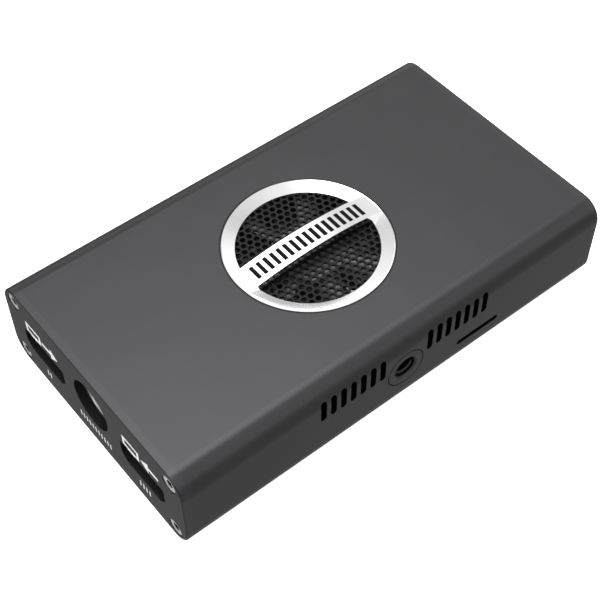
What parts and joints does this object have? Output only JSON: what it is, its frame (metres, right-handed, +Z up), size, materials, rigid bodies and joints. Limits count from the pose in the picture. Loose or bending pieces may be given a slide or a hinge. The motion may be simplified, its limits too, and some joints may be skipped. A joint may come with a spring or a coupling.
{
  "type": "video encoder",
  "caption": "Palm-sized streaming video encoder in an aluminium tube case, with a fan behind a round honeycomb grille, video, control, network and power sockets, and a tripod thread.",
  "frame": {"origin": "middle of the underside of the case, on the surface that it stands on", "axes": "+X along the case from the front panel with the video sockets to the rear panel, +Z up, and the tripod thread and card slot in the -Y side"},
  "size_m": [0.118, 0.0674, 0.0256],
  "materials": {
    "case_finish": "bead-blasted, dark grey anodised",
    "panel_finish": "bead-blasted, dark grey anodised",
    "screw_steel": "bright nickel plate",
    "badge_metal": "polished",
    "grille_black": "black paint on etched steel",
    "fan_plastic": "moulded black",
    "magnet_grey": "bonded ferrite",
    "shaft_steel": "ground",
    "bearing_bronze": "sintered bronze",
    "stator_steel": "stacked laminations",
    "coil_copper": "enamelled copper wire",
    "heatsink_aluminium": "extruded, clear anodised",
    "pad_grey": "soft filled silicone",
    "chip_black": "moulded package",
    "board_green": "solder mask on glass fibre laminate",
    "inductor_grey": "pressed powder core",
    "capacitor_metal": "aluminium can",
    "socket_metal": "nickel-plated sheet",
    "socket_plastic": "moulded black",
    "contact_gold": "gold flash on spring metal",
    "light_clear": "clear moulded light guide",
    "led_white": "white package",
    "insert_steel": "dark oxide",
    "button_white": "moulded white"
  },
  "bodies": {
    "case": {"case_tube": "case_finish", "front_panel": "panel_finish", "rear_panel": "panel_finish", "front_panel_screws": "screw_steel", "rear_panel_screws": "screw_steel", "badge_ring": "badge_metal", "intake_mesh": "grille_black", "fan_frame": "fan_plastic", "fan_bearing": "bearing_bronze", "fan_stator": "stator_steel", "fan_coils": "coil_copper", "fan_screws": "screw_steel", "heatsink": "heatsink_aluminium", "heatsink_screws": "screw_steel", "thermal_pad": "pad_grey", "processor": "chip_black", "memory_chips": "chip_black", "support_chips": "chip_black", "power_inductors": "inductor_grey", "capacitors": "capacitor_metal", "main_board": "board_green", "video_in_shell": "socket_metal", "video_in_insulator": "socket_plastic", "video_out_shell": "socket_metal", "video_out_insulator": "socket_plastic", "round_port_housing": "socket_plastic", "round_port_shield": "socket_metal", "round_port_core": "socket_plastic", "ethernet_jack": "socket_metal", "ethernet_contacts": "contact_gold", "usb_port_shell": "socket_metal", "usb_port_insulator": "socket_plastic", "card_socket": "socket_metal", "tripod_insert": "insert_steel", "reset_switch": "socket_plastic", "status_leds": "led_white", "status_light_pipes": "light_clear"},
    "fan": {"fan_rotor": "fan_plastic", "fan_shaft": "shaft_steel", "fan_magnet": "magnet_grey"},
    "reset_plunger": {"reset_button": "button_white"}
  },
  "joints": [
    {"name": "fan_spin", "type": "hinge", "parent": "case", "child": "fan", "pos_m": [0, 0, 0.0186], "axis": [0, 0, 1], "continuous": true},
    {"name": "reset_press", "type": "slide", "parent": "case", "child": "reset_plunger", "axis": [-1, 0, 0], "range_m": [0, 0.00025], "stiffness_N_per_m": 1500}
  ]
}
